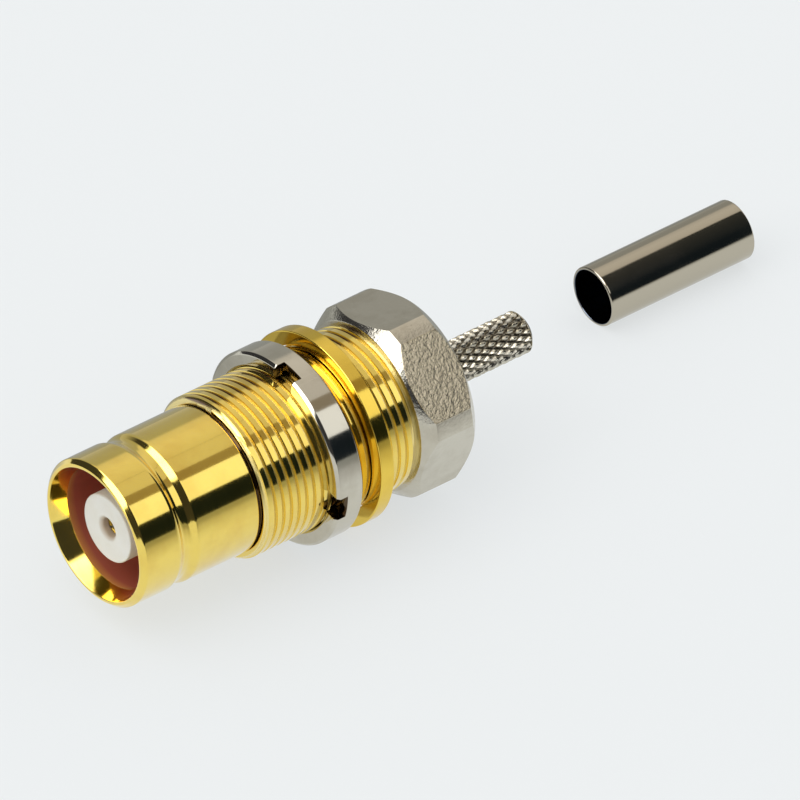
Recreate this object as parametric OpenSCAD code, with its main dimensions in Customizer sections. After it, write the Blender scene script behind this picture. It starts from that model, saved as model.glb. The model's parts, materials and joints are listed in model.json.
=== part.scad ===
// Bulkhead coaxial jack, 1.6/5.6 interface, for crimp cable.
// The axis is X: the open mating end is at x = 0 and the cable end points to +X. +Z is up.
// The jack lies on its side, and its crimp ferrule lies loose behind it on the same surface.

/* [Barrel] */
// Diameter of the socket that takes the plug's outer conductor
socket_d = 6.96; // [6.8:0.02:7.2]
// Depth of the socket, from the open end to its shoulder
socket_depth = 6.0; // [5:0.1:6.5]
// Wall of the barrel round the socket
barrel_wall = 0.62; // [0.5:0.01:0.8]
// Length of the plain barrel, from the open end to the thread relief
barrel_len = 7.2; // [6.8:0.1:8.5]
// Width of the edge break round the open end
rim_break = 0.25; // [0.04:0.01:0.3]
// How much the lead-in widens the socket at the open end, on the radius
mouth_flare = 0.14; // [0.1:0.02:0.4]
// Depth over which the lead-in narrows to the socket
mouth_len = 1.25; // [0.5:0.05:1.5]

/* [Snap groove] */
// Where the snap groove starts, behind the open end
groove_start = 2.35; // [1.8:0.05:2.8]
// Depth of the snap groove below the barrel
groove_depth = 0.22; // [0.1:0.02:0.3]
// Length of the groove's gentle front flank
groove_ramp = 0.75; // [0.4:0.05:1]
// Length of the groove's flat floor
groove_floor = 0.33; // [0.2:0.03:0.8]
// Length of the groove's steep rear flank
groove_wall = 0.12; // [0.05:0.01:0.3]

/* [Thread] */
// Major diameter of the fine panel thread
thread_d = 9.0; // [8.8:0.05:9.2]
// Length of the thread, from its relief to the hexagon
thread_len = 9.9; // [9:0.05:14]
// Width of the turned relief in front of the thread
relief_len = 0.4; // [0.2:0.05:0.8]
// Depth of the relief below the barrel
relief_depth = 0.2; // [0.1:0.05:0.3]
// Width of the chamfer where the thread starts
thread_chamfer = 0.2; // [0.1:0.05:0.3]

/* [Ring nut] */
// Outside diameter of the slotted ring nut
nut_d = 10.7; // [10.2:0.02:11]
// Thickness of the ring nut
nut_t = 1.7; // [1.4:0.1:2.2]
// Width of the bevels on the nut's outer edges
nut_bevel = 0.15; // [0.05:0.05:0.3]
// Number of spanner slots in the nut's front face
slot_count = 4; // [2:1:6]
// Width of a spanner slot
slot_w = 1.4; // [0.8:0.1:1.8]
// Depth of a spanner slot
slot_depth = 0.6; // [0.3:0.1:1]
// Angle of the first slot, from the top towards the front side (-Y)
nut_turn = 9.3; // [0:0.1:90]
// Running clearance between the nut's bore and the thread, on the radius
nut_clearance = 0.03; // [0.02:0.01:0.08]
// Space between the nut's back and the washer
nut_gap = 1.05; // [0.3:0.05:1.5]

/* [Washer] */
// Width of the flat washer's ring, from its bore to its rim
washer_w = 0.81; // [0.6:0.01:1.2]
// Thickness of the washer
washer_t = 0.85; // [0.5:0.05:1.2]
// Clearance between the washer's bore and the thread, on the radius
washer_clearance = 0.1; // [0.05:0.05:0.2]
// Space between the washer's back and the hexagon
washer_gap = 2.3; // [0.5:0.05:2.5]

/* [Hexagon] */
// Width across the flats
hex_af = 9.7; // [9.5:0.05:10]
// Turned diameter over the corners
hex_corner_d = 10.65; // [10.5:0.05:11]
// Length of the hexagon
hex_len = 3.45; // [3:0.05:4.5]
// Width of the 45 degree chamfer at the hexagon's front
hex_front_chamfer = 0.65; // [0.2:0.05:0.8]
// Width of the 45 degree chamfer at the hexagon's back
hex_back_chamfer = 0.55; // [0.2:0.05:0.6]
// Angle of one flat's centre, from the top towards the front side (-Y)
hex_turn = 49; // [0:0.1:60]

/* [Rear body] */
// Wall of the pilot that is pressed into the shell
pilot_wall = 0.4; // [0.3:0.05:0.6]
// Length of the pilot in front of the hexagon
pilot_len = 2.5; // [1.5:0.1:3.5]
// Depth of the rear bead's seat behind the hexagon's front face
rear_seat = 1.25; // [0.8:0.05:1.3]
// Diameter of the chamber round the soldered joint
solder_room_d = 4.4; // [3.6:0.1:5]
// Length of the chamber round the soldered joint
solder_room_len = 1.2; // [1:0.05:1.4]
// Wide end of the lead-in that guides the cable's core out of the chamber
core_sink_d = 3.0; // [2:0.1:3.4]

/* [Crimp spigot] */
// Wall of the spigot, from its bore to the top of the knurl
spigot_wall = 0.32; // [0.25:0.01:0.5]
// Length of the spigot behind the hexagon
spigot_len = 6.85; // [5:0.05:9]
// Bore of the spigot, which takes the cable's core
spigot_bore_d = 1.7; // [1.4:0.05:1.8]
// Width of the chamfer at the spigot's end
spigot_chamfer = 0.25; // [0.05:0.01:0.28]

/* [Crimp ferrule] */
// Outside diameter of the ferrule
ferrule_d = 3.3; // [3.2:0.02:4]
// Wall of the ferrule
ferrule_wall = 0.15; // [0.12:0.01:0.3]
// Length of the ferrule
ferrule_len = 9.4; // [7:0.05:11]
// Rounding of the ferrule's outer edges
ferrule_round = 0.08; // [0.04:0.01:0.12]
// Distance from the spigot's end to the loose ferrule
ferrule_gap = 7.85; // [2:0.05:12]
// Sideways distance from the jack's axis to the loose ferrule's axis
ferrule_back = 3.9; // [0:0.05:6]

/* [Insulators] */
// Inside diameter of the outer conductor's air line, which holds the beads
line_d = 5.6; // [5.4:0.05:5.8]
// Height of the lip that stops the front bead
lip_height = 0.25; // [0.15:0.05:0.4]
// Length of the lip
lip_len = 0.5; // [0.3:0.1:0.8]
// Length of each bead
bead_len = 2.0; // [1.5:0.1:2.5]
// Outside diameter of the insulator's nose in the socket
nose_d = 3.8; // [3.6:0.05:4]
// Depth of the nose's face below the open end
nose_recess = 0.85; // [0.3:0.05:1.2]
// Thickness of the closed wall at the nose's face
entry_wall = 0.5; // [0.3:0.05:0.8]
// Clearance of the entry hole round the plug's pin, on the radius
entry_clearance = 0.03; // [0.02:0.01:0.08]
// Width of the entry hole's 45 degree countersink
entry_sink = 0.17; // [0.1:0.01:0.25]

/* [Centre contact] */
// Bore of the contact's socket, which takes the plug's pin
pin_d = 1.0; // [0.9:0.02:1.1]
// Wall of the contact round that bore
contact_wall = 0.3; // [0.25:0.01:0.35]
// Depth of the socket's bore
pin_depth = 4.0; // [3.4:0.1:4.5]
// Number of slots between the spring fingers
finger_slots = 4; // [2:2:4]
// Width of a slot between the fingers
finger_slot_w = 0.14; // [0.08:0.01:0.18]
// Length of the slots
finger_slot_len = 3.2; // [2:0.1:3.3]
// Clearance round the contact in the nose, on the radius and at its tip
contact_clearance = 0.05; // [0.03:0.01:0.1]
// Height of the collar behind the front bead
collar_height = 0.4; // [0.2:0.05:0.7]
// Length of the collar
collar_len = 0.5; // [0.3:0.1:1]
// How far the contact reaches into the solder chamber
tail_len = 0.8; // [0.5:0.05:0.9]
// Bore of the solder cup at the contact's back
cup_d = 0.7; // [0.5:0.05:0.9]
// Depth of the solder cup
cup_depth = 1.5; // [1:0.1:2]

/* [Hidden] */
$fn = 96;
// How far a cutting tool runs past the face that it cuts
past = 1;

// Stations along the axis
relief_x = barrel_len;
thread_x = relief_x + relief_len;
hex_x = thread_x + thread_len;
spigot_x = hex_x + hex_len;
tail_end_x = spigot_x + spigot_len;
pilot_x = hex_x - pilot_len;
washer_x = hex_x - washer_gap - washer_t;
nut_x = washer_x - nut_gap - nut_t;
lip_back_x = socket_depth + lip_len;
front_bead_back_x = lip_back_x + bead_len;
rear_seat_x = hex_x + rear_seat;
rear_bead_x = rear_seat_x - bead_len;
solder_room_back_x = rear_seat_x + solder_room_len;
nose_x = nose_recess;
contact_x = nose_x + entry_wall + contact_clearance;
contact_back_x = rear_seat_x + tail_len;

// Radii
socket_r = socket_d / 2;
barrel_r = socket_r + barrel_wall;
groove_r = barrel_r - groove_depth;
relief_r = barrel_r - relief_depth;
thread_r = thread_d / 2;
line_r = line_d / 2;
pilot_r = line_r + pilot_wall;
pin_r = pin_d / 2;
contact_r = pin_r + contact_wall;
spigot_bore_r = spigot_bore_d / 2;
spigot_r = spigot_bore_r + spigot_wall;
washer_bore_r = thread_r + washer_clearance;
washer_r = washer_bore_r + washer_w;

// The surface that the jack and its loose ferrule lie on
rest_z = -max(washer_r, nut_d / 2, hex_corner_d / 2);

// Turns a profile of [radius, x] points about the X axis
module turned(profile) {
    rotate([0, 90, 0]) rotate_extrude() polygon(profile);
}

// A round bar or hole of radius r along X, from x0 to x1
module bar(r, x0, x1) {
    translate([x0, 0, 0]) rotate([0, 90, 0]) cylinder(r = r, h = x1 - x0);
}

// Lays what is drawn along Z along X. Its +X side then faces the given angle,
// measured from the top towards the front side
module along_x(x0, angle) {
    translate([x0, 0, 0]) rotate([0, 90, 0]) rotate(180 + angle) children();
}

// Gold-plated shell: barrel with snap groove, thread relief and panel thread
module outer_shell() {
    groove_floor_x = groove_start + groove_ramp;
    groove_wall_x = groove_floor_x + groove_floor;
    color([0.84, 0.70, 0.27])
    turned([
        [socket_r + mouth_flare, 0],
        [barrel_r - rim_break, 0],
        [barrel_r, rim_break],
        [barrel_r, groove_start],
        [groove_r, groove_floor_x],
        [groove_r, groove_wall_x],
        [barrel_r, groove_wall_x + groove_wall],
        [barrel_r, relief_x],
        [relief_r, relief_x],
        [relief_r, thread_x],
        [thread_r - thread_chamfer, thread_x],
        [thread_r, thread_x + thread_chamfer],
        [thread_r, hex_x],
        [pilot_r, hex_x],
        [pilot_r, pilot_x],
        [line_r, pilot_x],
        [line_r, lip_back_x],
        [line_r - lip_height, lip_back_x],
        [line_r - lip_height, socket_depth],
        [socket_r, socket_depth],
        [socket_r, mouth_len],
    ]);
}

// The hexagon: a six-sided bar, turned over the corners and chamfered at both ends
module hexagon() {
    corner_r = hex_corner_d / 2;
    intersection() {
        along_x(hex_x, hex_turn - 30)
            linear_extrude(hex_len) circle(r = hex_af / sqrt(3), $fn = 6);
        turned([
            [0, hex_x],
            [corner_r - hex_front_chamfer, hex_x],
            [corner_r, hex_x + hex_front_chamfer],
            [corner_r, spigot_x - hex_back_chamfer],
            [corner_r - hex_back_chamfer, spigot_x],
            [0, spigot_x],
        ]);
    }
}

// Nickel-plated rear body: pilot, hexagon and crimp spigot in one piece
module rear_body() {
    color([0.69, 0.66, 0.60])
    difference() {
        union() {
            bar(pilot_r, pilot_x, hex_x + hex_len / 2);
            hexagon();
            turned([
                [0, spigot_x - hex_len / 4],
                [spigot_r, spigot_x - hex_len / 4],
                [spigot_r, tail_end_x - spigot_chamfer],
                [spigot_r - spigot_chamfer, tail_end_x],
                [0, tail_end_x],
            ]);
        }
        bar(line_r, pilot_x - past, rear_seat_x);
        bar(solder_room_d / 2, rear_seat_x - past, solder_room_back_x);
        turned([
            [0, solder_room_back_x - past],
            [core_sink_d / 2, solder_room_back_x - past],
            [core_sink_d / 2, solder_room_back_x],
            [spigot_bore_r, spigot_x],
            [spigot_bore_r, tail_end_x + past],
            [0, tail_end_x + past],
        ]);
    }
}

// White insulator: a nose with a closed entry wall, and a bead that seats behind the lip
module front_insulator() {
    entry_r = pin_r + entry_clearance;
    nose_bore_r = contact_r + contact_clearance;
    sink_x = nose_x + entry_sink;
    inner_x = nose_x + entry_wall;
    color([0.93, 0.93, 0.90])
    turned([
        [entry_r + entry_sink, nose_x],
        [nose_d / 2, nose_x],
        [nose_d / 2, lip_back_x],
        [line_r, lip_back_x],
        [line_r, front_bead_back_x],
        [contact_r, front_bead_back_x],
        [contact_r, lip_back_x],
        [nose_bore_r, lip_back_x],
        [nose_bore_r, inner_x],
        [entry_r, inner_x],
        [entry_r, sink_x],
    ]);
}

// White bead that holds the contact's back end in the rear body
module rear_insulator() {
    color([0.93, 0.93, 0.90])
    difference() {
        bar(line_r, rear_bead_x, rear_seat_x);
        bar(contact_r, rear_bead_x - past, rear_seat_x + past);
    }
}

// Gold-plated contact: spring-fingered socket in front, solder cup behind
module centre_contact() {
    color([0.88, 0.73, 0.30])
    difference() {
        union() {
            bar(contact_r, contact_x, contact_back_x);
            bar(contact_r + collar_height, front_bead_back_x, front_bead_back_x + collar_len);
        }
        bar(pin_r, contact_x - past, contact_x + pin_depth);
        for (k = [0 : finger_slots / 2 - 1])
            along_x(contact_x - past, 45 + k * 360 / finger_slots)
                translate([-2 * contact_r, -finger_slot_w / 2, 0])
                cube([4 * contact_r, finger_slot_w, past + finger_slot_len]);
        bar(cup_d / 2, contact_back_x - cup_depth, contact_back_x + past);
    }
}

// Nickel-plated ring nut with spanner slots across its front face
module ring_nut() {
    nut_r = nut_d / 2;
    bore_r = thread_r + nut_clearance;
    color([0.69, 0.66, 0.60])
    difference() {
        turned([
            [bore_r, nut_x],
            [nut_r - nut_bevel, nut_x],
            [nut_r, nut_x + nut_bevel],
            [nut_r, nut_x + nut_t - nut_bevel],
            [nut_r - nut_bevel, nut_x + nut_t],
            [bore_r, nut_x + nut_t],
        ]);
        for (k = [0 : slot_count - 1])
            along_x(nut_x - past, nut_turn + k * 360 / slot_count)
                translate([0, -slot_w / 2, 0])
                cube([nut_d, slot_w, past + slot_depth]);
    }
}

// Gold-plated flat washer, loose on the thread
module washer() {
    color([0.80, 0.64, 0.24])
    difference() {
        bar(washer_r, washer_x, washer_x + washer_t);
        bar(washer_bore_r, washer_x - past, washer_x + washer_t + past);
    }
}

// Nickel-plated crimp ferrule, lying loose behind the jack
module crimp_ferrule() {
    outer_r = ferrule_d / 2;
    inner_r = outer_r - ferrule_wall;
    color([0.68, 0.64, 0.57])
    translate([tail_end_x + ferrule_gap, ferrule_back, rest_z + outer_r])
    turned([
        [inner_r, 0],
        [outer_r - ferrule_round, 0],
        [outer_r, ferrule_round],
        [outer_r, ferrule_len - ferrule_round],
        [outer_r - ferrule_round, ferrule_len],
        [inner_r, ferrule_len],
    ]);
}

outer_shell();
rear_body();
front_insulator();
rear_insulator();
centre_contact();
ring_nut();
washer();
crimp_ferrule();
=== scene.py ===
import json
from math import atan2, cos, hypot, pi, radians, sin, tan

import bmesh
import bpy
from bpy.props import FloatProperty, FloatVectorProperty, IntProperty, PointerProperty
from mathutils import Matrix, Vector


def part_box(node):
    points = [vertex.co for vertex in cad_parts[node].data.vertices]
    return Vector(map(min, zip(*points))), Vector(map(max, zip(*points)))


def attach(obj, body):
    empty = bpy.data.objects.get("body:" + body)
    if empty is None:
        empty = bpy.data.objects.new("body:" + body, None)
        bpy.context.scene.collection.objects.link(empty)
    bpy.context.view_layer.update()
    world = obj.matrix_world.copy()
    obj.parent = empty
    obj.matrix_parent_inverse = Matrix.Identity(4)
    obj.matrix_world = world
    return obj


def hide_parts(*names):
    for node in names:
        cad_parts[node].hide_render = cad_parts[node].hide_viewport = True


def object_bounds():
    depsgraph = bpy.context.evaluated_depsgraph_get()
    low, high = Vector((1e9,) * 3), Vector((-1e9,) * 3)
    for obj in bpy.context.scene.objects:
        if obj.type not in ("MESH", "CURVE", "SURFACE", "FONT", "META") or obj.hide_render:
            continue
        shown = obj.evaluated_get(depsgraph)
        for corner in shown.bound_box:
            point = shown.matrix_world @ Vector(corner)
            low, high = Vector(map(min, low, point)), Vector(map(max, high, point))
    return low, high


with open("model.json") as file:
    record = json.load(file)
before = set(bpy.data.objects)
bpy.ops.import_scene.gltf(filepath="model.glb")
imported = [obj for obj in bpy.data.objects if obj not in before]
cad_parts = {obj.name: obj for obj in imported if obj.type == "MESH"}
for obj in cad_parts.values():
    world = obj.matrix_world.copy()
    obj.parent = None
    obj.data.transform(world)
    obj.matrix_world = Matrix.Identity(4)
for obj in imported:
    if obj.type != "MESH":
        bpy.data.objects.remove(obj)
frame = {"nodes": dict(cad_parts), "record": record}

bl_info = {
    "name": "Bulkhead Coaxial Jack",
    "version": (1, 0, 0),
    "blender": (4, 5, 0),
    "location": "3D View > Sidebar > Coaxial Jack",
    "description": "Builds a threaded bulkhead coaxial jack with its ring nut, washer and crimp ferrule",
    "category": "Add Mesh",
}

MM = 0.001
CAD_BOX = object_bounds()


def mount(name):
    """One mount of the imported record."""
    return next(m for m in frame["record"]["mounts"] if m["name"] == name)


def span(part):
    """Where a part starts and ends along the axis, and its radius, in millimetres."""
    low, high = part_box(part)
    return low[0] / MM, high[0] / MM, (high[2] - low[2]) / 2 / MM


# Sizes in millimetres. An X is a station along the axis, from the open end.
BARREL_R = mount("snap_barrel")["dims"]["r_mm"]
THREAD_R = mount("panel_thread")["dims"]["r_mm"]
SPIGOT_R = mount("crimp_spigot")["dims"]["r_mm"]
SPIGOT_BORE_R = mount("cable_bore")["dims"]["r_mm"]
PIN_R = mount("contact_socket")["dims"]["r_mm"]
HEX_X = mount("panel_thread")["pos_m"][0] / MM

MOUTH_R = 3.70                # radius at the open end, where the lead-in cone starts
LEAD_IN_R = 3.36              # radius at the cone's end
LEAD_IN_X = 0.95
LEAD_IN_END = 1.5             # from here on the socket has its full radius
SOCKET_R = 3.48
SOCKET_DEPTH = 6.0
LIP_X = 6.5                   # back of the lip that the front insulator seats on
LIP = 0.25                    # how far the lip stands in from the line bore
LINE_R = 2.8

GROOVE = ((2.40, 0.0, 0.11), (2.75, 0.22, 0.12), (3.20, 0.22, 0.12), (3.58, 0.0, 0.08))
RIM_CHAMFER = 0.25
RELIEF_X = 7.45
RELIEF_DEPTH = 0.2
THREAD_X = 7.6
THREAD_CHAMFER = 0.2
RUNOUT = 0.22                 # length and depth of the thread's runout at the hexagon
RUNOUT_SLOPE = 3.0            # how steeply the runout falls
CREST_HALF = 0.275            # half widths of the thread's crest and root, in pitches
ROOT_HALF = 0.075
THREAD_ROWS = (0.225, 0.40, 0.60, 0.775, 0.925, 1.075)       # ends of crest and root, and two on the crest

PILOT_R = 3.2
PILOT_LEN = 2.5
HEX_AF = 9.7
HEX_CORNER_R = 5.325
HEX_LEN = 3.45
HEX_TURN = 49.0
HEX_END = HEX_X + HEX_LEN
FRONT_CHAMFER = 0.65
BACK_CHAMFER = 0.55
CHAMBER_R = 2.2               # solder chamber inside the hexagon
CHAMBER_FROM = 1.25
CHAMBER_TO = 2.45
CABLE_CONE_R = 1.5            # mouth of the cone that leads the cable's core to the chamber
NECK_LEN = 0.2                # plain neck between the hexagon and the knurl
KNURL_START = 0.25            # from the hexagon to the knurl's first row
KNURL_END = 0.2               # from the knurl's last row to the spigot's end
SPIGOT_CHAMFER = 0.25
OFF_KNURL = 0.0001            # keeps the chamfer's edge out of the knurl
KNURL_LAND = 0.35             # share of a knurl diamond that is flat
KNURL_STEPS = 10              # steps in one knurl pitch, along the spigot
KNURL_STEPS_ROUND = 12        # steps in one knurl diamond, round the spigot

NOSE_R = 1.9
NOSE_CLEARANCE = 0.05         # between the nose's bore and the contact
CONTACT_R = 0.8
ENTRY_R = PIN_R + 0.03
ENTRY_FLARE = 0.17
ENTRY_DEPTH = 0.5
COLLAR_FROM = 8.5
COLLAR_TO = 9.0
COLLAR = 0.4                  # how far the contact's collar stands out
PIN_DEPTH = 4.0               # depth of the contact's hole for the pin
FINGERS = 4
FINGER_TURN = 45.0
FINGER_LEN = 3.2
FINGER_SLOT = 0.14
CUP_R = 0.35                  # solder cup
CUP_DEPTH = 1.5
POLE_R = 0.02                 # radius at which a hole's flat end closes

NUT_TURN = 9.3
NUT_SLOTS = 4
NUT_CLEARANCE = 0.03
NUT_CHAMFER = 0.15
BORE_CHAMFER = 0.1
WASHER_CLEARANCE = 0.1

HOLD = 0.03 * MM              # distance from an edge at which even shading starts
BURR = 0.04 * MM              # rounding of milled edges
MERGE = 0.0002 * MM           # points closer together than this become one
SLIVER = 0.0001 * MM          # edges shorter than this are dropped
NEAR_THREAD = 1e-4            # millimetres within which a point counts as one of the thread
NEAR_KNURL = 2e-5
SEAM = 1e-5                   # turns within which a point counts as on the seam
SHARP_ANGLE = 32.0
ROOT_REFLECTION_TURN = -16.0            # where the painted dark reflection in the thread's roots is widest, in degrees from the top
WIDE_FLAT = (2.0 * MM) ** 2   # area from which a flat counts as a flat of the hexagon
CONTACT_STEPS = 96
FERRULE_STEPS = 144

# Sockets of a colour Mix node
MIX_FIRST, MIX_SECOND, MIX_RESULT = 6, 7, 2

# The stage: tones that the metal mirrors, at degrees from the top and at millimetres across the floor
WHITE = (1.0, 1.0, 1.0, 1.0)
BRIGHT = (1.0, 1.0, 1.0)
FAR = (0.42, 0.42, 0.40)      # tone of the studio far from the jack
DARK = (0.045, 0.045, 0.05)
WALLS = (
    (-180, (0.62, 0.62, 0.60)), (-108, (0.60, 0.60, 0.58)), (-90, (0.50, 0.50, 0.48)), (-78, FAR),
    (-54, FAR), (-49, (0.72, 0.68, 0.62)), (-34, (0.82, 0.77, 0.70)), (-18, (0.78, 0.73, 0.66)),
    (-6.6, (0.72, 0.67, 0.60)), (-5.8, (0.055, 0.055, 0.05)), (60, (0.01, 0.015, 0.02)),
    (89, (0.01, 0.015, 0.02)), (93, FAR), (180, (0.62, 0.62, 0.60)),
)
FLOOR_TONES = (
    (-80, FAR), (-55, (0.50, 0.49, 0.47)), (-24, (0.78, 0.77, 0.76)), (-12, BRIGHT), (3, BRIGHT),
    (10, (0.62, 0.62, 0.61)), (16, FAR), (40, FAR),
)
END_WALL_FULL = -0.16         # lean towards the open end from which only the wall there is mirrored
FLOOR_LIT = 1.04              # how much brighter the lit floor comes out than its colour
FLOOR_X = 22.5
FLOOR_HALF = 1.5              # half the floor's width, in metres
CARD_X = 37.5
CARD_LEN = 85
CARD_DISTANCE = 95
SENSOR = 36.0
VIEW_WIDTH = 800.0 / 19.62    # width of the camera's view at the jack
AWAY = (-0.4996, -0.6258, 0.5990)       # direction from the jack to the camera
RIGHT = (0.7815, -0.6239, 0.0)
AIM = (15.52, 6.845, -9.0)    # what the camera aims at: to its right, up and towards it from the open end


# ---------------------------------------------------------------- properties

def length(name, description, value, low, high):
    """A size that a user can change, from its value and limits in millimetres."""
    return FloatProperty(name=name, description=description, default=value * MM, min=low * MM,
                         max=high * MM, subtype="DISTANCE", unit="LENGTH")


def colour(name, description, value):
    """A colour that a user can change."""
    return FloatVectorProperty(name=name, description=description, default=(*value, 1.0), size=4,
                               min=0.0, max=1.0, subtype="COLOR")


class JackSizes(bpy.types.PropertyGroup):
    thread_pitch: length("Thread pitch", "Advance of the panel thread in one turn", 0.5, 0.2, 1.0)
    thread_depth: length("Thread depth", "Depth of the panel thread below its crest", 0.18, 0.05, 0.4)
    knurl_pitch: length("Knurl pitch", "Distance from one row of knurl diamonds to the next but one, "
                        "along the spigot", 0.9, 0.5, 2.0)
    knurl_count: IntProperty(name="Knurl count", default=16, min=6, max=24,
                             description="Number of knurl diamonds round the spigot")
    knurl_depth: length("Knurl depth", "Depth of the knurl's grooves", 0.18, 0.02, 0.25)
    edge_softness: length("Edge softness", "Rounding of the turned edges", 0.03, 0.0, 0.1)
    slot_width: length("Nut slot width", "Width of a spanner slot in the ring nut", 1.4, 0.5, 2.0)
    slot_depth: length("Nut slot depth", "Depth of a spanner slot in the ring nut", 0.6, 0.2, 1.0)
    turn_steps: IntProperty(name="Steps round", description="Number of steps that turned surfaces have",
                            default=168, min=24, max=360)


class JackFinishes(bpy.types.PropertyGroup):
    gold: colour("Gold", "Bright gold plate of the shell", (0.93, 0.70, 0.13))
    gold_shade: colour("Gold shade", "Thinner, browner patches of the gold plate", (0.84, 0.58, 0.09))
    # Pale gold: patches on the contact, and painted light that lifts the shade in the thread's roots
    pale_gold_and_root_light: colour("Gold in the thread", "Gold in the thread's roots", (0.96, 0.79, 0.31))
    # Painted reflection just inside the lead-in cone
    lead_in_reflection: colour("Gold at the lead-in", "Gold just inside the lead-in cone", (0.66, 0.28, 0.08))
    # Painted shade: brick red deep inside the socket
    socket_shade: colour("Gold inside", "Reddish gold inside the socket", (0.50, 0.13, 0.08))
    # Painted dark reflection in the thread's roots on the top side
    root_dark_reflection: colour("Painted_reflection", "Dark film in the thread's roots on top", (0.22, 0.13, 0.08))
    # Painted shade in the relief groove
    relief: colour("Relief", "Dark film in the relief in front of the thread", (0.16, 0.10, 0.05))
    washer: colour("Washer", "Dull gold plate of the washer", (0.90, 0.65, 0.11))
    nickel: colour("Nickel", "Bright nickel plate of the body and the ring nut", (0.62, 0.585, 0.49))
    nickel_shade: colour("Nickel shade", "Browner patches of the nickel plate", (0.50, 0.46, 0.37))
    # A browner tone on one flat of the hexagon
    toned_front_flat: colour("Toned flat", "Grainy flat of the hexagon", (0.58, 0.51, 0.37))
    # Painted shade in the knurl's grooves
    knurl_groove_shade: colour("Knurl pit", "Dark film in the knurl's grooves", (0.16, 0.14, 0.11))
    # Painted shade in the ring nut's slots
    nut_slot_shade: colour("Nut slot", "Dark film in the ring nut's slots", (0.10, 0.07, 0.04))
    ferrule: colour("Ferrule", "Smooth nickel plate of the ferrule", (0.50, 0.455, 0.36))
    # Painted shade inside the ferrule's bore
    ferrule_bore: colour("Ferrule bore", "Darker plate inside the ferrule", (0.17, 0.20, 0.25))
    insulator: colour("Insulator", "White fluoropolymer", (0.66, 0.655, 0.61))
    # Painted shade round the insulator's entry hole
    entry_hole_shade: colour("Entry painted_shade", "Painted_shade round the insulator's entry hole", (0.36, 0.25, 0.15))


class StageSettings(bpy.types.PropertyGroup):
    floor: colour("Floor", "Plain pale floor", (0.81, 0.835, 0.843))
    glow: FloatProperty(name="Floor glow", description="Share of the floor's brightness that comes "
                        "through it from below, as on a light table",
                        default=0.75, min=0.0, max=1.0, subtype="FACTOR")
    lens: FloatProperty(name="Lens", description="Focal length of the camera, in millimetres",
                        default=1500.0, min=50.0, max=5000.0)
    box_level: FloatProperty(name="Light box level", description="Brightness of the light box that "
                             "the metal mirrors", default=1.15, min=0.0, max=10.0)
    side_level: FloatProperty(name="Side wall level", description="Brightness of the studio wall that "
                              "the open end faces", default=4.0, min=0.0, max=10.0)


# ---------------------------------------------------------------- modelling

def outward(angle):
    """The direction that lies at an angle in degrees from the top towards the front side (-Y)."""
    return Vector((0.0, -sin(radians(angle)), cos(radians(angle))))


def hold(edge):
    """Adds a point near each end of a profile edge, which keeps the shading between them even."""
    extent = edge.calc_length()
    start, end = edge.verts
    point = bmesh.utils.edge_split(edge, start, HOLD / extent)[1]
    rest = max(point.link_edges, key=lambda e: e.calc_length())
    bmesh.utils.edge_split(rest, end, HOLD / (extent - HOLD))


def lathe(points, steps, merge=True):
    """A mesh turned about the X axis from points of (x, radius, rounding) in millimetres.

    Returns it and its last column of vertices.
    """
    bm = bmesh.new()
    verts = [bm.verts.new((x * MM, 0.0, radius * MM)) for x, radius, rounding in points]
    for a, b in zip(verts, verts[1:] + verts[:1]):
        bm.edges.new((a, b))
    rounded = set()
    for rounding in sorted({point[2] for point in points} - {0.0}):
        corners = [v for v, point in zip(verts, points) if v.is_valid and point[2] == rounding]
        made = bmesh.ops.bevel(bm, geom=corners, offset=rounding * MM, offset_type="OFFSET", segments=3,
                               profile=0.5, affect="VERTICES", material=-1, clamp_overlap=True)
        rounded.update(made["verts"])
    for edge in bm.edges[:]:
        if rounded.issuperset(edge.verts) and edge.calc_length() > 6 * HOLD:
            hold(edge)
    swept = bmesh.ops.spin(bm, geom=bm.verts[:] + bm.edges[:], cent=(0, 0, 0), axis=(1, 0, 0),
                           angle=2 * pi, steps=steps, use_merge=merge, use_duplicate=False)
    return bm, {e for e in swept["geom_last"] if isinstance(e, bmesh.types.BMVert)}


def close(bm):
    """Merges seams and turns the faces outwards."""
    bmesh.ops.remove_doubles(bm, verts=bm.verts, dist=MERGE)
    bmesh.ops.dissolve_degenerate(bm, edges=bm.edges, dist=SLIVER)
    bmesh.ops.recalc_face_normals(bm, faces=bm.faces)


def turned(points, steps):
    """A closed turned mesh."""
    bm = lathe(points, steps)[0]
    close(bm)
    return bm


def ring(ends, bore, rounding, steps):
    """A plain ring between its two ends, from their places along the axis and its radius."""
    front, back, r = ends
    return turned([(front, bore, 0.04), (front, r, rounding), (back, r, rounding), (back, bore, 0.04)], steps)


def radius_of(vert):
    """A vertex's distance from the axis, in millimetres."""
    return hypot(vert.co.y, vert.co.z) / MM


def turn_of(vert):
    """A vertex's angle from the top towards the front side, in turns from 0 to 1."""
    return atan2(-vert.co.y, vert.co.z) / (2 * pi) % 1.0


def move_to(vert, radius):
    """Moves a vertex straight in or out to a radius in millimetres."""
    scale = radius / radius_of(vert)
    vert.co.y *= scale
    vert.co.z *= scale


def open_edges(bm):
    return [e for e in bm.edges if len(e.link_faces) == 1]


def cut(bm, point, direction, clear=False):
    """Cuts the mesh along a plane and, where asked, takes off what lies beyond it."""
    bmesh.ops.bisect_plane(bm, geom=bm.verts[:] + bm.edges[:] + bm.faces[:], plane_co=point,
                           plane_no=direction, clear_outer=clear, dist=SLIVER)


def cut_flat(bm, direction, distance):
    """Mills a flat at a distance from the axis. Returns the new face."""
    cut(bm, direction * distance, direction, clear=True)
    return bmesh.ops.edgeloop_fill(bm, edges=open_edges(bm))["faces"]


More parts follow.
